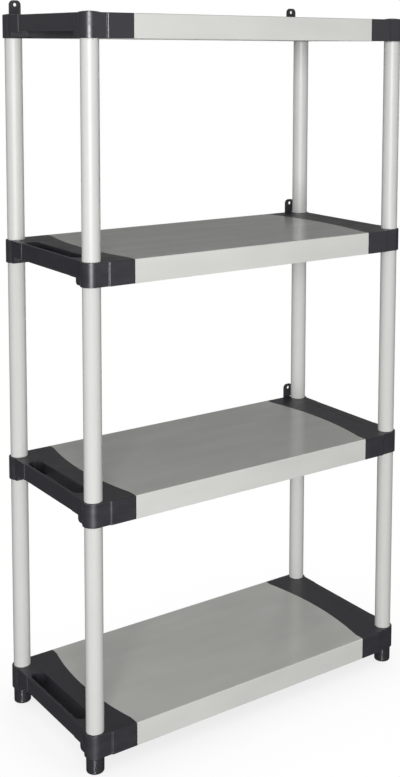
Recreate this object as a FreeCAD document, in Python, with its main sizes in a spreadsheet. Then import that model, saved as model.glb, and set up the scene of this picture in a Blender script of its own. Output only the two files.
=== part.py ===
import FreeCAD, Part
import Sketcher
import math
import os

# Four-shelf push-fit plastic shelving unit, in millimetres.
# X runs along the shelves, Y runs to the back, Z is up.
# The origin is on the floor, midway between the four feet.

# Driving dimensions, in the order of the rows of the sheet.
DRIVING_SIZES = {
    # where the posts and shelves stand
    "post_spacing_x": 700,
    "post_spacing_y": 302,
    "shelf_pitch": 432,
    "foot_height": 32,
    # round posts and what plugs into them
    "post_diameter": 33.2,
    "post_wall": 3,
    "rim_chamfer": 0.8,
    "peg_clearance": 0.15,
    "peg_wall": 2.8,
    "peg_reach": 28,
    "peg_lead_in": 1.5,
    "flange_lip": 1.2,
    "flange_thickness": 2,
    "seat_clearance": 0.3,
    # feet and caps
    "foot_lip": 3.2,
    "foot_taper": 0.2,
    "foot_rounding": 3,
    "foot_floor": 4,
    "cap_height": 2.6,
    "cap_rim": 0.7,
    "cap_inset": 1.6,
    # end brackets
    "bracket_height": 44,
    "bracket_wall": 3,
    "deck_thickness": 3,
    "boss_margin": 3.4,
    "front_reach": 2.5,
    "rear_reach": 17,
    "side_reach": 15,
    "plate_offset": 23,
    "bar_step": 1,
    "bar_step_inset": 53,
    "bar_rise": 12,
    "arch_front_inset": 30,
    "arch_rear_inset": 24,
    "arch_rounding": 6.5,
    "slot_offset": 6,
    "slot_width": 28,
    "slot_inset": 49,
    "slot_rounding": 2,
    "deck_line_offset": 10,
    "deck_line_width": 1.6,
    "deck_line_depth": 0.8,
    "front_rounding": 2,
    "plate_rounding": 4.5,
    "bracket_rib": 2.4,
    "bracket_rib_lift": 10,
    # shelf panels and their joint with the brackets
    "seam_offset": 75.5,
    "seam_bulge": 16.5,
    "seam_arc_inset": 1,
    "joint_gap": 0.3,
    "panel_wall": 2.5,
    "panel_thickness": 2.5,
    "panel_rib": 2,
    "panel_rib_depth": 22,
    "tongue_width": 50,
    "tongue_thickness": 8,
    "tongue_reach": 10,
    "tongue_level": 16,
    "tongue_spacing": 95,
    # wall tabs
    "tab_offset": 13.5,
    "tab_width": 24,
    "tab_height": 29,
    "tab_thickness": 3.5,
    "tab_corner": 9,
    "tab_gap": 2,
    "tab_hole_diameter": 7,
    "tab_hole_height": 20.4,
    "tab_recess": 1.2,
    "tab_rim": 3,
    "tab_stem_width": 16,
    "tab_stem_drop": 22,
    "tab_plug_width": 9,
    "tab_plug_height": 10,
    "tab_plug_depth": 7,
    "tab_plug_drop": 18,
    "tab_plug_inset": 1.5,
}

LEVELS = ("bottom", "lower", "upper", "top")
BAYS = ("lower", "middle", "upper")
SIDES = {"left": 1, "right": -1}
ENDS = {"front": -1, "rear": 1}
CROSS_RIBS = 9
LONG_RIBS = 3
TONGUES = (-1, 0, 1)

document = FreeCAD.newDocument("ShelvingUnit")
sheet = document.addObject("Spreadsheet::Sheet", "Sizes")


class Size:
    """A length together with the sheet expression that gives it."""

    def __init__(self, value, text):
        self.value = float(value)
        self.text = text

    def __add__(self, other):
        other = as_size(other)
        return Size(self.value + other.value, f"({self.text} + {other.text})")

    def __sub__(self, other):
        other = as_size(other)
        return Size(self.value - other.value, f"({self.text} - {other.text})")

    def __mul__(self, other):
        other = as_size(other)
        return Size(self.value * other.value, f"({self.text} * {other.text})")

    def __truediv__(self, other):
        other = as_size(other)
        return Size(self.value / other.value, f"({self.text} / {other.text})")

    def __neg__(self):
        return Size(-self.value, f"(0 - {self.text})")


def as_size(number):
    if isinstance(number, Size):
        return number
    return Size(number, f"({number})")


def root(size):
    return Size(math.sqrt(size.value), f"sqrt({size.text})")


def fill_sheet():
    sizes = {}
    for row, (name, value) in enumerate(DRIVING_SIZES.items(), start=1):
        sheet.set(f"A{row}", name)
        sheet.set(f"B{row}", str(value))
        sheet.setAlias(f"B{row}", name)
        sizes[name] = Size(value, f"Sizes.{name}")
    document.recompute()
    return sizes


D = fill_sheet()

# Sizes worked out from the driving ones and shared by pieces that fit each other.
HALF_X = D["post_spacing_x"] / 2
HALF_Y = D["post_spacing_y"] / 2
POST_RADIUS = D["post_diameter"] / 2
BORE_RADIUS = POST_RADIUS - D["post_wall"]
PEG_RADIUS = BORE_RADIUS - D["peg_clearance"]
PEG_BORE = PEG_RADIUS - D["peg_wall"]
FLANGE_RADIUS = BORE_RADIUS + D["flange_lip"]
BOSS_RADIUS = POST_RADIUS + D["boss_margin"]
HEIGHT = D["bracket_height"]
FRONT_Y = HALF_Y + BOSS_RADIUS + D["front_reach"]
REAR_Y = HALF_Y + D["rear_reach"]
SEAM_Y = HALF_Y - D["seam_arc_inset"]
SEAM_RADIUS = (SEAM_Y * SEAM_Y + D["seam_bulge"] * D["seam_bulge"]) / (D["seam_bulge"] * 2)
SLOT_Y = HALF_Y - D["slot_inset"]
SLOT_RADIUS = D["slot_width"] / 2
SLOT_INNER = D["slot_offset"] + SLOT_RADIUS
SLOT_STRAIGHT = SLOT_Y - SLOT_RADIUS
TAB_FRONT = D["rear_reach"] + D["tab_gap"]
TAB_BACK = TAB_FRONT + D["tab_thickness"]


def seam_bulge_at(y):
    """How far the seam's arc stands out of its straight ends at a distance y from the middle."""
    return D["seam_bulge"] - SEAM_RADIUS + root(SEAM_RADIUS * SEAM_RADIUS - y * y)


def shelf_underside(level):
    return D["foot_height"] + D["shelf_pitch"] * level


def new_body(name, x, y, z):
    body = document.addObject("PartDesign::Body", name)
    body.Label = name
    for axis, place in zip("xyz", (x, y, z)):
        body.setExpression(f"Placement.Base.{axis}", as_size(place).text)
    return body


def new_sketch(body, plane="XY_Plane", offset=0):
    sketch = body.newObject("Sketcher::SketchObject", f"{body.Name}_sketch")
    support = next(f for f in body.Origin.OriginFeatures if f.Role == plane)
    sketch.AttachmentSupport = [(support, "")]
    sketch.MapMode = "FlatFace"
    sketch.setExpression("AttachmentOffset.Base.z", as_size(offset).text)
    return sketch


def bind(sketch, kind, *where, size):
    """Add a dimension whose value follows the sheet."""
    index = sketch.addConstraint(Sketcher.Constraint(kind, *where, size.value))
    sketch.setExpression(f"Constraints[{index}]", size.text)


def bind_point(sketch, edge, vertex, x, y):
    bind(sketch, "DistanceX", -1, 1, edge, vertex, size=as_size(x))
    bind(sketch, "DistanceY", -1, 1, edge, vertex, size=as_size(y))


def flat(x, y):
    return FreeCAD.Vector(as_size(x).value, as_size(y).value, 0)


def line_to(x, y):
    return {"end": (x, y)}


def arc_to(x, y, radius, through):
    return {"end": (x, y), "radius": radius, "through": through}


def half_circle_to(x, y, through):
    """A half circle between two points level with each other in Y."""
    return {"end": (x, y), "centre_y": y, "through": through}


def add_edge(sketch, start, step):
    """Draw one edge of a wire; gives its number and the numbers of its first and last vertex."""
    if "through" not in step:
        edge = sketch.addGeometry(Part.LineSegment(flat(*start), flat(*step["end"])))
        return edge, 1, 2
    arc = Part.Arc(flat(*start), flat(*step["through"]), flat(*step["end"]))
    edge = sketch.addGeometry(arc)
    if "radius" in step:
        bind(sketch, "Radius", edge, size=as_size(step["radius"]))
    else:
        bind(sketch, "DistanceY", -1, 1, edge, 3, size=as_size(step["centre_y"]))
    runs_forward = sketch.getPoint(edge, 1).distanceToPoint(flat(*start)) < 1e-6
    return (edge, 1, 2) if runs_forward else (edge, 2, 1)


def closed_wire(sketch, steps):
    """Draw a closed outline of lines and arcs, with every corner held to its sizes."""
    start = steps[-1]["end"]
    drawn = []
    for step in steps:
        drawn.append(add_edge(sketch, start, step))
        bind_point(sketch, drawn[-1][0], drawn[-1][2], *step["end"])
        start = step["end"]
    previous = drawn[-1]
    for edge in drawn:
        sketch.addConstraint(Sketcher.Constraint("Coincident", previous[0], previous[2], edge[0], edge[1]))
        previous = edge


def rectangle(sketch, x0, y0, x1, y1):
    closed_wire(sketch, [line_to(x1, y0), line_to(x1, y1), line_to(x0, y1), line_to(x0, y0)])


def circle(sketch, x, y, radius):
    radius = as_size(radius)
    edge = sketch.addGeometry(Part.Circle(flat(x, y), FreeCAD.Vector(0, 0, 1), radius.value))
    bind(sketch, "Radius", edge, size=radius)
    bind_point(sketch, edge, 3, x, y)


def pad(body, sketch, length):
    feature = body.newObject("PartDesign::Pad", f"{body.Name}_pad")
    feature.Profile = sketch
    feature.setExpression("Length", as_size(length).text)
    return feature


def pocket(body, sketch, length=None, along_normal=False):
    """Cut a sketch into the body, through everything if no length is given."""
    feature = body.newObject("PartDesign::Pocket", f"{body.Name}_pocket")
    feature.Profile = sketch
    feature.Reversed = along_normal
    if length is None:
        feature.Type = "ThroughAll"
    else:
        feature.setExpression("Length", as_size(length).text)
    return feature


def revolved(name, place, steps):
    """A turned piece: an outline of radius and height swept round the upright axis."""
    body = new_body(name, *place)
    sketch = new_sketch(body, "XZ_Plane")
    closed_wire(sketch, steps)
    feature = body.newObject("PartDesign::Revolution", f"{name}_turn")
    feature.Profile = sketch
    feature.ReferenceAxis = (sketch, ["V_Axis"])
    feature.Angle = 360
    return body


def post(name, x, y, underside):
    """Plain round tube that stands on one boss and carries the next."""
    length = D["shelf_pitch"] - HEIGHT
    inset = POST_RADIUS - D["rim_chamfer"]
    return revolved(name, (x, y, underside), [
        line_to(inset, 0),
        line_to(POST_RADIUS, D["rim_chamfer"]),
        line_to(POST_RADIUS, length - D["rim_chamfer"]),
        line_to(inset, length),
        line_to(BORE_RADIUS, length),
        line_to(BORE_RADIUS, 0),
    ])


def joining_peg(name, x, y, underside):
    """Hollow peg through a boss and into the posts above and below; its flange sits in the boss."""
    lead = PEG_RADIUS - D["peg_lead_in"]
    low = -D["peg_reach"]
    high = HEIGHT + D["peg_reach"]
    seat = HEIGHT - D["flange_thickness"]
    return revolved(name, (x, y, underside), [
        line_to(lead, low),
        line_to(PEG_RADIUS, low + D["peg_lead_in"]),
        line_to(PEG_RADIUS, seat),
        line_to(FLANGE_RADIUS, seat),
        line_to(FLANGE_RADIUS, HEIGHT),
        line_to(PEG_RADIUS, HEIGHT),
        line_to(PEG_RADIUS, high - D["peg_lead_in"]),
        line_to(lead, high),
        line_to(PEG_BORE, high),
        line_to(PEG_BORE, low),
    ])


def foot(name, x, y):
    """Closed hollow foot with a shoulder under the boss and a peg up into the lowest post."""
    shoulder = BORE_RADIUS + D["foot_lip"]
    base = shoulder - D["foot_taper"]
    rounding = D["foot_rounding"]
    diagonal = rounding * (1 - math.sqrt(0.5))
    high = D["foot_height"] + HEIGHT + D["peg_reach"]
    return revolved(name, (x, y, 0), [
        line_to(base - rounding, 0),
        arc_to(base, rounding, rounding, (base - diagonal, diagonal)),
        line_to(shoulder, D["foot_height"]),
        line_to(PEG_RADIUS, D["foot_height"]),
        line_to(PEG_RADIUS, high - D["peg_lead_in"]),
        line_to(PEG_RADIUS - D["peg_lead_in"], high),
        line_to(PEG_BORE, high),
        line_to(PEG_BORE, D["foot_floor"]),
        line_to(0, D["foot_floor"]),
        line_to(0, 0),
    ])


def top_cap(name, x, y, underside):
    """Low domed cap on a top boss, with a peg down into the uppermost post."""
    head = BOSS_RADIUS - D["cap_inset"]
    rise = D["cap_height"] - D["cap_rim"]
    dome = (head * head + rise * rise) / (rise * 2)
    low = -D["peg_reach"]
    crown = HEIGHT + D["cap_height"]
    halfway = crown - dome + root(dome * dome - head * head / 4)
    seat = HEIGHT - D["flange_thickness"]
    return revolved(name, (x, y, underside), [
        line_to(PEG_RADIUS - D["peg_lead_in"], low),
        line_to(PEG_RADIUS, low + D["peg_lead_in"]),
        line_to(PEG_RADIUS, seat),
        line_to(FLANGE_RADIUS, seat),
        line_to(FLANGE_RADIUS, HEIGHT),
        line_to(head, HEIGHT),
        line_to(head, HEIGHT + D["cap_rim"]),
        arc_to(0, crown, dome, (head / 2, halfway)),
        line_to(0, seat),
        line_to(PEG_BORE, seat),
        line_to(PEG_BORE, low),
    ])


def bracket_outline(sketch, side):
    """Plan of an end bracket: the front boss and plate, the side bar, the back and the hollow seam arc."""
    seam = D["seam_offset"] * side
    plate = D["plate_offset"] * side
    flank = -D["side_reach"] * side
    bar = (D["bar_step"] - D["side_reach"]) * side
    step_y = HALF_Y - D["bar_step_inset"]
    flank_y = HALF_Y - root(BOSS_RADIUS * BOSS_RADIUS - D["side_reach"] * D["side_reach"])
    boss = -BOSS_RADIUS * side
    boss_front = -(HALF_Y + BOSS_RADIUS)
    closed_wire(sketch, [
        line_to(plate, -FRONT_Y),
        line_to(plate, boss_front),
        line_to(0, boss_front),
        arc_to(flank, -flank_y, BOSS_RADIUS, (boss, -HALF_Y)),
        line_to(flank, -step_y),
        line_to(bar, -step_y),
        line_to(bar, step_y),
        line_to(flank, step_y),
        line_to(flank, HALF_Y),
        line_to(0, HALF_Y),
        line_to(0, REAR_Y),
        line_to(seam, REAR_Y),
        line_to(seam, SEAM_Y),
        arc_to(seam, -SEAM_Y, SEAM_RADIUS, ((D["seam_offset"] - D["seam_bulge"]) * side, 0)),
        line_to(seam, -FRONT_Y),
    ])


def add_rear_boss(body):
    """Round boss at the rear post, trimmed flush with the bracket's flat back."""
    boss = new_sketch(body)
    circle(boss, 0, HALF_Y, BOSS_RADIUS)
    pad(body, boss, HEIGHT)
    behind = new_sketch(body)
    rectangle(behind, -BOSS_RADIUS, REAR_Y, BOSS_RADIUS, REAR_Y + BOSS_RADIUS)
    pocket(body, behind, HEIGHT, along_normal=True)


def round_front_edge(body, start, length=None, along_normal=False):
    """Round the upper front edge from a place along X."""
    sketch = new_sketch(body, "YZ_Plane", start)
    rounding = D["front_rounding"]
    diagonal = rounding * (1 - math.sqrt(0.5))
    closed_wire(sketch, [
        line_to(-FRONT_Y, HEIGHT - rounding),
        arc_to(rounding - FRONT_Y, HEIGHT, rounding, (diagonal - FRONT_Y, HEIGHT - diagonal)),
        line_to(-FRONT_Y, HEIGHT),
    ])
    pocket(body, sketch, length, along_normal)


def round_plate(body, side):
    """Round the front plate's upper edge, and its upright edge down to the boss behind it."""
    start = D["plate_offset"]
    round_front_edge(body, start * side, D["seam_offset"] - start, along_normal=side > 0)
    rounding = D["plate_rounding"]
    step = D["front_reach"]
    run = root(rounding * rounding - (rounding - step) * (rounding - step))
    midway = rounding - root(rounding * rounding - run * run / 4)
    upright = new_sketch(body)
    closed_wire(upright, [
        line_to(start * side, step - FRONT_Y),
        arc_to((start + run) * side, -FRONT_Y, rounding, ((start + run / 2) * side, midway - FRONT_Y)),
        line_to(start * side, -FRONT_Y),
    ])
    pocket(body, upright, HEIGHT, along_normal=True)


def bracket_cavity(sketch, side):
    """Plan of the hollow under the deck, one wall in from the seam, the slot, the plate and the back."""
    wall = D["bracket_wall"]
    outer = (SLOT_INNER + wall) * side
    plate = (D["plate_offset"] + wall) * side
    boss_front = wall - HALF_Y - BOSS_RADIUS
    seam = (D["seam_offset"] - wall) * side
    apex = (D["seam_offset"] - wall - D["seam_bulge"]) * side
    closed_wire(sketch, [
        line_to(outer, boss_front),
        line_to(outer, REAR_Y - wall),
        line_to(seam, REAR_Y - wall),
        line_to(seam, SEAM_Y),
        arc_to(seam, -SEAM_Y, SEAM_RADIUS, (apex, 0)),
        line_to(seam, wall - FRONT_Y),
        line_to(plate, wall - FRONT_Y),
        line_to(plate, boss_front),
    ])


def cut_bores(body):
    """Bores for the pegs, with a round seat for the peg's flange at the top."""
    bores = new_sketch(body, offset=HEIGHT)
    seats = new_sketch(body, offset=HEIGHT)
    for end in ENDS.values():
        circle(bores, 0, HALF_Y * end, BORE_RADIUS)
        circle(seats, 0, HALF_Y * end, FLANGE_RADIUS + D["seat_clearance"])
    pocket(body, bores)
    pocket(body, seats, D["flange_thickness"])


def slot_outline(sketch, side):
    """Plan of the long round-ended hollow behind the side bar."""
    middle = D["slot_offset"] * side
    near = (D["slot_offset"] - SLOT_RADIUS) * side
    far = SLOT_INNER * side
    closed_wire(sketch, [
        line_to(near, SLOT_STRAIGHT),
        half_circle_to(far, SLOT_STRAIGHT, (middle, SLOT_Y)),
        line_to(far, -SLOT_STRAIGHT),
        half_circle_to(near, -SLOT_STRAIGHT, (middle, -SLOT_Y)),
    ])


def cut_grip_slot(body, side):
    """Grip slot through the deck behind the side bar, as the left brackets have it."""
    sketch = new_sketch(body, offset=HEIGHT)
    slot_outline(sketch, side)
    pocket(body, sketch)
    round_slot_edge(body, side)


def cut_closed_slot(body, side):
    """The same hollow left blind under the deck, with a fine line along the top, as on the right."""
    hollow = new_sketch(body)
    slot_outline(hollow, side)
    pocket(body, hollow, HEIGHT - D["deck_thickness"], along_normal=True)
    line = new_sketch(body, offset=HEIGHT)
    near = (D["deck_line_offset"] - D["deck_line_width"] / 2) * side
    far = (D["deck_line_offset"] + D["deck_line_width"] / 2) * side
    rectangle(line, near, -SLOT_STRAIGHT, far, SLOT_STRAIGHT)
    pocket(body, line, D["deck_line_depth"])


def round_slot_edge(body, side):
    """Round the slot's upper edge all the way round."""
    document.recompute()
    cut = body.Tip
    middle = D["slot_offset"] * side
    corners_of_slot = [flat(middle + SLOT_RADIUS * x, SLOT_STRAIGHT * y) for x in (-1, 1) for y in (-1, 1)]
    for corner in corners_of_slot:
        corner.z = HEIGHT.value
    names = []
    for number, edge in enumerate(cut.Shape.Edges, start=1):
        ends = [vertex.Point for vertex in edge.Vertexes]
        if all(any(end.isEqual(corner, 1e-4) for corner in corners_of_slot) for end in ends):
            names.append(f"Edge{number}")
    fillet = body.newObject("PartDesign::Fillet", f"{body.Name}_fillet")
    fillet.Base = (cut, names)
    fillet.setExpression("Radius", D["slot_rounding"].text)


def cut_arch(body, side):
    """Raise the underside of the side bar between the bosses, with a mouth that widens downwards."""
    outside = -BOSS_RADIUS * side
    sketch = new_sketch(body, "YZ_Plane", outside)
    front = D["arch_front_inset"] - HALF_Y
    rear = HALF_Y - D["arch_rear_inset"]
    rounding = D["arch_rounding"]
    diagonal = rounding * (1 - math.sqrt(0.5))
    closed_wire(sketch, [
        line_to(front - rounding, 0),
        arc_to(front, rounding, rounding, (front - diagonal, diagonal)),
        line_to(front, D["bar_rise"]),
        line_to(rear, D["bar_rise"]),
        line_to(rear, rounding),
        arc_to(rear + rounding, 0, rounding, (rear + diagonal, diagonal)),
    ])
    pocket(body, sketch, BOSS_RADIUS + SLOT_INNER, along_normal=side > 0)


def cut_corner_hollows(body, side):
    """Hollow the blocks between the slot's ends and the bosses from below."""
    wall = D["bracket_wall"]
    sketch = new_sketch(body)
    for end in ENDS.values():
        rectangle(
            sketch,
            (wall - D["side_reach"]) * side,
            (SLOT_Y + wall) * end,
            SLOT_INNER * side,
            (HALF_Y - BOSS_RADIUS - wall) * end,
        )
    pocket(body, sketch, HEIGHT - D["deck_thickness"], along_normal=True)


def add_bracket_ribs(body, side):
    """Upright ribs across the hollow, between and beside the tongues, from the slot's wall to the seam."""
    sketch = new_sketch(body, offset=D["bracket_rib_lift"])
    half = D["bracket_rib"] / 2
    wall = D["bracket_wall"]
    inner = D["tongue_spacing"] / 2
    outer = (D["tongue_spacing"] + D["tongue_width"] / 2 + SEAM_Y) / 2
    for place in (-outer, -inner, inner, outer):
        far = D["seam_offset"] - seam_bulge_at(place) - wall / 2
        rectangle(sketch, (SLOT_INNER + wall / 2) * side, place - half, far * side, place + half)
    pad(body, sketch, HEIGHT - D["deck_thickness"] - D["bracket_rib_lift"])


def cut_tongue_windows(body, side):
    """Windows in the seam wall that the panel's tongues rest in."""
    sketch = new_sketch(body, offset=D["tongue_level"])
    half = D["tongue_width"] / 2 + D["joint_gap"]
    slope_room = D["seam_bulge"] / 2
    for number in TONGUES:
        middle = D["tongue_spacing"] * number
        seam = D["seam_offset"] - seam_bulge_at(middle)
        near = (seam - D["bracket_wall"] - slope_room) * side
        far = (seam + slope_room) * side
        rectangle(sketch, near, middle - half, far, middle + half)
    pocket(body, sketch, D["tongue_thickness"] + D["joint_gap"], along_normal=True)


def cut_tab_socket(body, side):
    """Blind socket in the rear wall for a wall tab's plug."""
    sketch = new_sketch(body, offset=HEIGHT - D["tab_plug_drop"])
    near = D["tab_offset"] + D["tab_plug_inset"] - D["seat_clearance"]
    far = D["tab_offset"] + D["tab_plug_inset"] + D["tab_plug_width"] + D["seat_clearance"]
    deep = REAR_Y - D["tab_plug_depth"] - D["seat_clearance"]
    rectangle(sketch, near * side, deep, far * side, REAR_Y)
    pocket(body, sketch, D["tab_plug_height"] + D["seat_clearance"], along_normal=True)


def end_bracket(name, side, underside):
    """Moulded end bracket that joins a shelf panel to a front and a rear post."""
    body = new_body(name, -HALF_X * side, 0, underside)
    plan = new_sketch(body)
    bracket_outline(plan, side)
    pad(body, plan, HEIGHT)
    add_rear_boss(body)
    round_plate(body, side)
    hollow = new_sketch(body)
    bracket_cavity(hollow, side)
    pocket(body, hollow, HEIGHT - D["deck_thickness"], along_normal=True)
    add_bracket_ribs(body, side)
    cut_corner_hollows(body, side)
    if side == SIDES["left"]:
        cut_grip_slot(body, side)
    else:
        cut_closed_slot(body, side)
    cut_arch(body, side)
    cut_bores(body)
    cut_tongue_windows(body, side)
    cut_tab_socket(body, side)
    return body


def panel_outline(sketch, inset):
    """Plan of a shelf panel with its bulging ends, drawn in by an inset."""
    inset = as_size(inset)
    end = HALF_X - D["seam_offset"] - D["joint_gap"] - inset
    apex = end + D["seam_bulge"]
    front = inset - FRONT_Y
    rear = REAR_Y - inset
    closed_wire(sketch, [
        line_to(end, front),
        line_to(end, -SEAM_Y),
        arc_to(end, SEAM_Y, SEAM_RADIUS, (apex, 0)),
        line_to(end, rear),
        line_to(-end, rear),
        line_to(-end, SEAM_Y),
        arc_to(-end, -SEAM_Y, SEAM_RADIUS, (-apex, 0)),
        line_to(-end, front),
    ])


def add_panel_ribs(body):
    """Lattice of ribs under the panel's top: long ones along X, short ones across."""
    depth = D["panel_rib_depth"]
    level = HEIGHT - D["panel_thickness"] - depth
    half = D["panel_rib"] / 2
    length = HALF_X - D["seam_offset"] - D["joint_gap"] - D["panel_wall"] / 2
    front = D["panel_wall"] / 2 - FRONT_Y
    rear = REAR_Y - D["panel_wall"] / 2
    long_ribs = new_sketch(body, offset=level)
    for number in range(1, LONG_RIBS + 1):
        place = front + (rear - front) * (number / (LONG_RIBS + 1))
        rectangle(long_ribs, -length, place - half, length, place + half)
    pad(body, long_ribs, depth)
    cross_ribs = new_sketch(body, offset=level)
    for number in range(1, CROSS_RIBS + 1):
        place = length * (2 * number / (CROSS_RIBS + 1) - 1)
        rectangle(cross_ribs, place - half, front, place + half, rear)
    pad(body, cross_ribs, depth)


def add_tongues(body):
    """Tongues at both ends that rest in the windows of the brackets."""
    sketch = new_sketch(body, offset=D["tongue_level"])
    half = D["tongue_width"] / 2
    end = HALF_X - D["seam_offset"] - D["joint_gap"]
    slope_room = D["seam_bulge"] / 2
    for side in SIDES.values():
        for number in TONGUES:
            middle = D["tongue_spacing"] * number
            face = end + seam_bulge_at(middle)
            root_x = (face - D["panel_wall"] - slope_room) * side
            tip_x = (face + D["tongue_reach"]) * side
            rectangle(sketch, root_x, middle - half, tip_x, middle + half)
    pad(body, sketch, D["tongue_thickness"])


def shelf_panel(name, underside):
    """Shelf panel: a thin top with a skirt all round, ribs beneath and tongues at the ends."""
    body = new_body(name, 0, 0, underside)
    plan = new_sketch(body)
    panel_outline(plan, 0)
    pad(body, plan, HEIGHT)
    round_front_edge(body, HALF_X)
    hollow = new_sketch(body)
    panel_outline(hollow, D["panel_wall"])
    pocket(body, hollow, HEIGHT - D["panel_thickness"], along_normal=True)
    add_panel_ribs(body)
    add_tongues(body)
    return body


def add_tab_plate(body):
    """Upright plate of a wall tab with a round-cornered top and a screw hole."""
    sketch = new_sketch(body, "XZ_Plane", -TAB_BACK)
    half = D["tab_width"] / 2
    top = D["tab_height"]
    corner = D["tab_corner"]
    diagonal = corner * (1 - math.sqrt(0.5))
    closed_wire(sketch, [
        line_to(half, 0),
        line_to(half, top - corner),
        arc_to(half - corner, top, corner, (half - diagonal, top - diagonal)),
        line_to(corner - half, top),
        arc_to(-half, top - corner, corner, (diagonal - half, top - diagonal)),
        line_to(-half, 0),
    ])
    circle(sketch, 0, D["tab_hole_height"], D["tab_hole_diameter"] / 2)
    pad(body, sketch, D["tab_thickness"])


def cut_tab_recess(body):
    """Shallow recess in the tab's face between its side rims, below the screw hole."""
    sketch = new_sketch(body, "XZ_Plane", -TAB_FRONT)
    half = D["tab_width"] / 2 - D["tab_rim"]
    top = D["tab_hole_height"] - D["tab_hole_diameter"] / 2 - D["tab_rim"]
    rectangle(sketch, -half, D["tab_rim"], half, top)
    pocket(body, sketch, D["tab_recess"])


def add_tab_stem(body, side):
    """Stem down the bracket's rear wall and the plug that goes into its socket."""
    outer = (D["tab_width"] / 2) * side
    stem = new_sketch(body, offset=-D["tab_stem_drop"])
    rectangle(stem, outer - D["tab_stem_width"] * side, D["rear_reach"], outer, TAB_BACK)
    pad(body, stem, D["tab_stem_drop"])
    plug = new_sketch(body, offset=-D["tab_plug_drop"])
    near = D["tab_plug_inset"] * side
    far = (D["tab_plug_inset"] + D["tab_plug_width"]) * side
    rectangle(plug, near, D["rear_reach"] - D["tab_plug_depth"], far, TAB_BACK)
    pad(body, plug, D["tab_plug_height"])


def wall_tab(name, side, deck):
    """Tab at the back of a shelf for a screw into the wall."""
    body = new_body(name, (D["tab_offset"] - HALF_X) * side, HALF_Y, deck)
    add_tab_plate(body)
    cut_tab_recess(body)
    add_tab_stem(body, side)
    return body


def corners():
    for end, y in ENDS.items():
        for hand, side in SIDES.items():
            yield f"{end}_{hand}", -HALF_X * side, HALF_Y * y


def build_unit():
    """All the pieces, from the feet up."""
    pieces = []
    for level, level_name in enumerate(LEVELS):
        underside = shelf_underside(level)
        pieces.append(shelf_panel(f"shelf_panel_{level_name}", underside))
        for hand, side in SIDES.items():
            pieces.append(end_bracket(f"end_bracket_{hand}_{level_name}", side, underside))
            if level > 0:
                pieces.append(wall_tab(f"wall_tab_{hand}_{level_name}", side, underside + HEIGHT))
    for place, x, y in corners():
        pieces.append(foot(f"foot_{place}", x, y))
        pieces.append(top_cap(f"top_cap_{place}", x, y, shelf_underside(len(LEVELS) - 1)))
        for level, bay in enumerate(BAYS):
            pieces.append(post(f"post_{place}_{bay}", x, y, shelf_underside(level) + HEIGHT))
        for level in range(1, len(LEVELS) - 1):
            pieces.append(joining_peg(f"joining_peg_{place}_{LEVELS[level]}", x, y, shelf_underside(level)))
    document.recompute()
    return pieces


def check_unit(pieces):
    """Stop if a feature failed or a piece isn't one sound solid."""
    for item in document.Objects:
        if "Invalid" in item.State or "Error" in item.State:
            raise RuntimeError(f"{item.Label} failed: {item.State}")
    for piece in pieces:
        shape = piece.Shape
        if shape.isNull() or not shape.isValid() or len(shape.Solids) != 1:
            raise RuntimeError(f"{piece.Label} isn't one sound solid")


def write_unit(pieces):
    os.makedirs("parts", exist_ok=True)
    for piece in pieces:
        piece.Shape.exportStep(f"parts/{piece.Label}.step")


def main():
    pieces = build_unit()
    check_unit(pieces)
    write_unit(pieces)
    print(f"{len(pieces)} pieces")


main()
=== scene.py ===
import bmesh
import bpy
import math
from mathutils import Matrix, Vector


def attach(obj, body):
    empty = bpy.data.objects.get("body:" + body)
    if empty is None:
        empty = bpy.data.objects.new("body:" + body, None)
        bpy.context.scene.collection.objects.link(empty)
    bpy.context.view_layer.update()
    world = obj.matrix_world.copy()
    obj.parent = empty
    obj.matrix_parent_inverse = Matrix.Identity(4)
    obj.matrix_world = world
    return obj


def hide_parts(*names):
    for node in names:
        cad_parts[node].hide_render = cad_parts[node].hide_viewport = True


# Push-fit plastic shelving unit, in metres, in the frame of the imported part.
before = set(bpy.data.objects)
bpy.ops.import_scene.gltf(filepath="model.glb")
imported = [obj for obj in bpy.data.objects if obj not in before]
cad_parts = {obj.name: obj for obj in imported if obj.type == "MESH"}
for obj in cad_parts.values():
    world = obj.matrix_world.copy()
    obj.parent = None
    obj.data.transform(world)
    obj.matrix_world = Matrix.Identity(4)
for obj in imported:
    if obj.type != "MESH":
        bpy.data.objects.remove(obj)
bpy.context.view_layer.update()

MM = 0.001
WHITE = [1, 1, 1, 1]


def top_of(node):
    """Height of the highest point of a piece."""
    return max(vert.co.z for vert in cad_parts[node].data.vertices)


LEVELS = ("bottom", "lower", "upper", "top")
DECKS = {level: top_of(f"shelf_panel_{level}") for level in LEVELS}


def linear(colour):
    """sRGB hex to linear red, green, blue and alpha."""
    channels = [int(colour[i:i + 2], 16) / 255 for i in (1, 3, 5)]
    return [c / 12.92 if c <= 0.04045 else ((c + 0.055) / 1.055) ** 2.4 for c in channels] + [1.0]


def add_node(tree, kind, inputs=None, **settings):
    """One shader node with its settings, and with values or links on its inputs."""
    made = tree.nodes.new(kind)
    for name, value in settings.items():
        setattr(made, name, value)
    for socket, value in (inputs or {}).items():
        if isinstance(value, bpy.types.NodeSocket):
            tree.links.new(value, made.inputs[socket])
        else:
            made.inputs[socket].default_value = value
    return made


def new_material(name):
    material = bpy.data.materials.new(name)
    material.use_nodes = True
    material.node_tree.nodes.clear()
    return material, material.node_tree


# What all the plastics share: how fast the pigment drifts and how much that counts beside the streaks, how
# far the streaks change the roughness, how much of the rubbed shade an edge takes, and the bump of the grain.
REFRACTION = 1.49
DRIFT_MM = 90
DRIFT_WEIGHT = 0.6
SHADE_RANGE = (0.5, 1.1)
STREAK_RANGE = (0.3, 0.7)
GLOSS_SWING = 0.04
RUBBED_SHARE = 0.5
GRAIN_STRENGTH = 0.3


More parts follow.
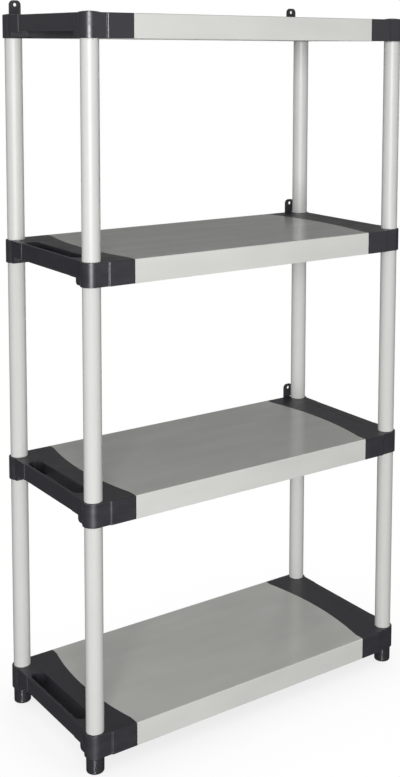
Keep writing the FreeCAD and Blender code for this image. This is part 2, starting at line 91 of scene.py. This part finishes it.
def plastic(name, dark, light, rub, roughness, streak_mm, grain_mm, grain_depth_mm):
    """Coloured polypropylene.

    Two close shades drift over the surface as the pigment does, streaks show which way the melt or the tool
    ran and change the gloss, a fine grain breaks up the reflections, and rounded edges are rubbed lighter.
    """
    material, tree = new_material(name)
    place = add_node(tree, "ShaderNodeTexCoord").outputs["Object"]
    drift = add_node(tree, "ShaderNodeTexNoise", {
        "Vector": place, "Scale": 1 / (DRIFT_MM * MM), "Detail": 3.0,
    })
    stretched = add_node(tree, "ShaderNodeMapping", {
        "Vector": place, "Scale": [1 / (length * MM) for length in streak_mm],
    })
    streaks = add_node(tree, "ShaderNodeTexNoise", {
        "Vector": stretched.outputs["Vector"], "Scale": 1.0, "Detail": 1.0,
    })
    shade = add_node(tree, "ShaderNodeMath", {
        0: drift.outputs["Fac"], 1: DRIFT_WEIGHT, 2: streaks.outputs["Fac"],
    }, operation="MULTIPLY_ADD")
    share = add_node(tree, "ShaderNodeMapRange", {
        "Value": shade.outputs["Value"], "From Min": SHADE_RANGE[0], "From Max": SHADE_RANGE[1],
    })
    pigment = add_node(tree, "ShaderNodeMix", {
        "Factor": share.outputs["Result"], "A": linear(dark), "B": linear(light),
    }, data_type="RGBA")
    rubbed = add_node(tree, "ShaderNodeAttribute", attribute_name="rubbed")
    rub_share = add_node(tree, "ShaderNodeMath", {
        0: rubbed.outputs["Fac"], 1: RUBBED_SHARE,
    }, operation="MULTIPLY")
    colour = add_node(tree, "ShaderNodeMix", {
        "Factor": rub_share.outputs["Value"], "A": pigment.outputs["Result"], "B": linear(rub),
    }, data_type="RGBA")
    gloss = add_node(tree, "ShaderNodeMapRange", {
        "Value": streaks.outputs["Fac"], "From Min": STREAK_RANGE[0], "From Max": STREAK_RANGE[1],
        "To Min": roughness - GLOSS_SWING, "To Max": roughness + GLOSS_SWING,
    })
    grain = add_node(tree, "ShaderNodeTexNoise", {
        "Vector": place, "Scale": 1 / (grain_mm * MM), "Detail": 2.0,
    })
    bump = add_node(tree, "ShaderNodeBump", {
        "Height": grain.outputs["Fac"], "Strength": GRAIN_STRENGTH, "Distance": grain_depth_mm * MM,
    }, name="grain")
    surface = add_node(tree, "ShaderNodeBsdfPrincipled", {
        "Base Color": colour.outputs["Result"], "Roughness": gloss.outputs["Result"],
        "IOR": REFRACTION, "Normal": bump.outputs["Normal"],
    })
    add_node(tree, "ShaderNodeOutputMaterial", {"Surface": surface.outputs["BSDF"]})
    return material


def cut_rings(material, pitch_mm, depth_mm):
    """Fine turned rings under the grain, which draw a highlight out into a thin upright line."""
    tree = material.node_tree
    place = add_node(tree, "ShaderNodeTexCoord").outputs["Object"]
    # The wave's bands repeat every 2 pi / 20 of a unit at a scale of 1.
    turning = add_node(tree, "ShaderNodeTexWave", {
        "Vector": place, "Scale": 2 * math.pi / (20 * pitch_mm * MM),
    }, bands_direction="Z", wave_profile="TRI")
    rings = add_node(tree, "ShaderNodeBump", {"Height": turning.outputs["Fac"], "Distance": depth_mm * MM})
    tree.links.new(rings.outputs["Normal"], tree.nodes["grain"].inputs["Normal"])


# Injection-moulded light grey panel: a smooth satin skin that mirrors the posts at a low angle, with broad
# faint flow patches along the shelf.
panel_finish = plastic(
    "satin_moulded_polypropylene_light_grey",
    dark="#CBCCC7", light="#D3D4CF", rub="#E2E2DE", roughness=0.18,
    streak_mm=(190, 42, 42), grain_mm=0.9, grain_depth_mm=0.03,
)
# Injection-moulded charcoal bracket: a spark-eroded mould leaves a dull grain that spreads the highlights.
# The real grain is about 0.2 mm, drawn coarser here so that it shows.
bracket_finish = plastic(
    "grained_moulded_polypropylene_charcoal",
    dark="#2E2E33", light="#343439", rub="#55555B", roughness=0.37,
    streak_mm=(30, 30, 12), grain_mm=0.8, grain_depth_mm=0.06,
)
# Moulded in a polished, turned cavity: glossier than the bracket, with fine rings round the foot, drawn
# coarser than they are so that they show.
foot_finish = plastic(
    "polished_moulded_polypropylene_charcoal",
    dark="#2C2C30", light="#323236", rub="#3E3E44", roughness=0.28,
    streak_mm=(60, 60, 0.7), grain_mm=1.2, grain_depth_mm=0.01,
)
cut_rings(foot_finish, pitch_mm=0.5, depth_mm=0.071)
# Extruded tube: smooth, with faint draw lines along its length.
post_finish = plastic(
    "smooth_extruded_polypropylene_light_grey",
    dark="#CACBC8", light="#D0D1CE", rub="#E6E6E3", roughness=0.45,
    streak_mm=(2.5, 2.5, 400), grain_mm=1.5, grain_depth_mm=0.01,
)
# Plain moulding inside the posts: dull and even, because no one sees it once the unit is put together.
peg_finish = plastic(
    "plain_moulded_polypropylene_charcoal",
    dark="#232327", light="#28282C", rub="#3A3A3F", roughness=0.45,
    streak_mm=(20, 20, 20), grain_mm=0.8, grain_depth_mm=0.03,
)

# Edges of the mouldings: points closer than the first value are one point and faces closer in direction than
# the second are one face, edges sharper than the third are broken by the fourth, and edges that are still
# sharper than the last after that keep a crisp line.
MERGE_MM = 0.002
FLAT_DEGREES = 0.3
BROKEN_DEGREES = 40
EDGE_MM = 0.4
CRISP_DEGREES = 35


def sharp_edges(bm, degrees):
    return [e for e in bm.edges if e.is_manifold and e.calc_face_angle() > math.radians(degrees)]


def mark_rubbed(bm, rounded):
    """Give the crest of every rounded edge the value that the finish rubs lighter."""
    rounded = set(rounded)
    rubbed = bm.verts.layers.float.new("rubbed")
    for vert in bm.verts:
        vert[rubbed] = float(bool(vert.link_faces) and all(face in rounded for face in vert.link_faces))


def softened(node, finish):
    """The moulding with its sharp edges broken, as they come out of a mould."""
    bm = bmesh.new()
    bm.from_mesh(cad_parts[node].data)
    bmesh.ops.remove_doubles(bm, verts=bm.verts, dist=MERGE_MM * MM)
    bmesh.ops.dissolve_limit(bm, angle_limit=math.radians(FLAT_DEGREES), verts=bm.verts, edges=bm.edges)
    made = bmesh.ops.bevel(
        bm, geom=sharp_edges(bm, BROKEN_DEGREES), offset=EDGE_MM * MM, offset_type="OFFSET", affect="EDGES",
        segments=2, profile=0.5, material=-1, clamp_overlap=False,
    )
    mark_rubbed(bm, made["faces"])
    for face in bm.faces:
        face.smooth = True
    for edge in bm.edges:
        edge.smooth = True
    for edge in sharp_edges(bm, CRISP_DEGREES):
        edge.smooth = False
    mesh = bpy.data.meshes.new(f"{node}_moulding")
    bm.to_mesh(mesh)
    bm.free()
    mesh.materials.clear()
    mesh.materials.append(finish)
    piece = bpy.data.objects.new(mesh.name, mesh)
    bpy.context.scene.collection.objects.link(piece)
    # The flat faces keep their own direction up to the rounded edges.
    piece.modifiers.new("flat_faces", "WEIGHTED_NORMAL").keep_sharp = True
    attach(piece, "root")
    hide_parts(node)
    return piece


def line_level(node):
    """Level of the strip of light that draws an upright highlight on a piece.

    A piece goes with the deck nearest to its top, and the feet have a strip of their own. The panels and the
    duller lower posts have none.
    """
    if node.startswith("foot"):
        return "feet"
    level = min(LEVELS, key=lambda name: abs(DECKS[name] - top_of(node)))
    plain = node.startswith("shelf_panel") or (node.startswith("post") and level != "top")
    return None if plain else level


def dress_pieces(lined):
    """Mouldings with broken edges, and the turned pieces as they are, each in its finish.

    Those with an upright highlight go into the collection that their strip of light reaches.
    """
    mouldings = {
        "shelf_panel": (panel_finish, "panel_grey"),
        "end_bracket": (bracket_finish, "bracket_charcoal"),
        "wall_tab": (bracket_finish, "bracket_charcoal"),
    }
    turned = {"post": post_finish, "foot": foot_finish, "top_cap": bracket_finish, "joining_peg": peg_finish}
    for node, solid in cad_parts.items():
        piece = solid
        for kind, (finish, slot) in mouldings.items():
            if node.startswith(kind):
                piece = softened(node, finish)
        for kind, finish in turned.items():
            if node.startswith(kind):
                solid.data.materials[0] = finish
        level = line_level(node)
        if level:
            lined[level].objects.link(piece)


lined_pieces = {level: bpy.data.collections.new(f"lined_pieces_{level}") for level in ("feet", *LEVELS)}
dress_pieces(lined_pieces)


def white_floor(half_width, painted_shadow_reach, painted_shadow_darkest):
    """Pale floor that throws light back under the shelves.

    The camera sees it as white, with a painted shadow, taken from ambient occlusion, where the unit stands
    over it.
    """
    bm = bmesh.new()
    bmesh.ops.create_grid(bm, x_segments=1, y_segments=1, size=half_width)
    mesh = bpy.data.meshes.new("studio_floor")
    bm.to_mesh(mesh)
    bm.free()
    floor = bpy.data.objects.new("studio_floor", mesh)
    bpy.context.scene.collection.objects.link(floor)
    material, tree = new_material("matt_white_floor")
    rays = add_node(tree, "ShaderNodeLightPath")
    lit = add_node(tree, "ShaderNodeBsdfDiffuse", {"Color": linear("#707070")})
    # Painted shadow: ambient occlusion dims the white that the camera sees, down to the darkest value near
    # the unit.
    shade = add_node(tree, "ShaderNodeAmbientOcclusion", {"Distance": painted_shadow_reach}, samples=16)
    painted_shadow_glow = add_node(tree, "ShaderNodeMapRange", {
        "Value": shade.outputs["AO"], "To Min": painted_shadow_darkest, "To Max": 1.0,
    })
    white = add_node(tree, "ShaderNodeEmission", {"Color": WHITE, "Strength": painted_shadow_glow.outputs["Result"]})
    both = add_node(tree, "ShaderNodeMixShader", {
        "Fac": rays.outputs["Is Camera Ray"], 1: lit.outputs["BSDF"], 2: white.outputs["Emission"],
    })
    add_node(tree, "ShaderNodeOutputMaterial", {"Surface": both.outputs["Shader"]})
    mesh.materials.append(material)


def white_world(strength):
    """Even light from all round, seen by the camera as plain white."""
    world = bpy.data.worlds.new("white_studio")
    world.use_nodes = True
    bpy.context.scene.world = world
    tree = world.node_tree
    tree.nodes.clear()
    rays = add_node(tree, "ShaderNodeLightPath")
    soft = add_node(tree, "ShaderNodeBackground", {"Color": WHITE, "Strength": strength})
    white = add_node(tree, "ShaderNodeBackground", {"Color": WHITE, "Strength": 1.0})
    both = add_node(tree, "ShaderNodeMixShader", {
        "Fac": rays.outputs["Is Camera Ray"], 1: soft.outputs["Background"], 2: white.outputs["Background"],
    })
    add_node(tree, "ShaderNodeOutputWorld", {"Surface": both.outputs["Shader"]})


def softbox(name, place, target, width, height, watts, lights=True, mirrored=True):
    """Soft lamp aimed at a point, which may light the surfaces, show in them as a highlight, or both."""
    lamp = bpy.data.lights.new(name, "AREA")
    lamp.shape = "RECTANGLE"
    lamp.size = width
    lamp.size_y = height
    lamp.energy = watts
    box = bpy.data.objects.new(name, lamp)
    box.location = place
    box.rotation_mode = "QUATERNION"
    box.rotation_quaternion = (Vector(target) - Vector(place)).to_track_quat("-Z", "Y")
    box.visible_camera = False
    box.visible_diffuse = lights
    box.visible_glossy = mirrored
    bpy.context.scene.collection.objects.link(box)
    return box


def line_strips(lined):
    """Strips of light that only show as upright highlights, one for each storey.

    Each lies just under the level of its deck, so that no deck mirrors it from behind. The glossier feet have
    a weaker one of their own at the lowest level.
    """
    strip_watts = {"feet": 110, "bottom": 300, "lower": 300, "upper": 245, "top": 215}
    below_deck = 0.039
    for level, watts in strip_watts.items():
        middle = DECKS.get(level, DECKS["bottom"]) - below_deck
        strip = softbox(
            f"line_softbox_{level}", place=(-2.43, -3.79, middle), target=(0, 0, middle),
            width=1.4, height=0.066, watts=watts, lights=False,
        )
        strip.light_linking.receiver_collection = lined[level]


white_floor(half_width=20, painted_shadow_reach=0.4, painted_shadow_darkest=0.8)
white_world(strength=0.24)
softbox(
    "key_softbox", place=(-2.3, -3.4, 1.1), target=(0, 0, 0.95),
    width=1.7, height=2.2, watts=165, mirrored=False,
)
line_strips(lined_pieces)
softbox(
    "side_softbox", place=(-3.4, 0.9, 1.5), target=(0, 0, 0.85),
    width=1.6, height=2.0, watts=13, mirrored=False,
)
softbox("fill_softbox", place=(2.3, -3.6, 1.2), target=(0, 0, 0.75), width=2.4, height=2.2, watts=11)
softbox(
    "back_softbox", place=(2.6, 3.3, 0.5), target=(0, 0, 0.65),
    width=1.8, height=1.0, watts=160, mirrored=False,
)


def photo_camera():
    """Camera at the photograph's place, with the photograph's optical centre."""
    picture_px = (400, 777)
    centre_px = (270, 172)
    focal_px = 1225.43
    sensor_mm = 36
    place = (-1.3684, -2.02856, 1.31404)
    azimuth = math.radians(36.8506)
    elevation = math.radians(5.8078)
    roll = math.radians(0.3864)
    longer_px = max(picture_px)
    lens = bpy.data.cameras.new("photo_camera")
    lens.sensor_width = sensor_mm
    lens.lens = focal_px * sensor_mm / longer_px
    lens.shift_x = (picture_px[0] / 2 - centre_px[0]) / longer_px
    lens.shift_y = (centre_px[1] - picture_px[1] / 2) / longer_px
    lens.clip_start = 0.05
    lens.clip_end = 100
    camera = bpy.data.objects.new("photo_camera", lens)
    turn = Matrix.Rotation(-azimuth, 4, "Z") @ Matrix.Rotation(math.pi / 2 - elevation, 4, "X")
    turn = turn @ Matrix.Rotation(roll, 4, "Z")
    camera.matrix_world = Matrix.Translation(place) @ turn
    bpy.context.scene.collection.objects.link(camera)
    bpy.context.scene.camera = camera


photo_camera()
bpy.context.scene.view_settings.view_transform = "Standard"
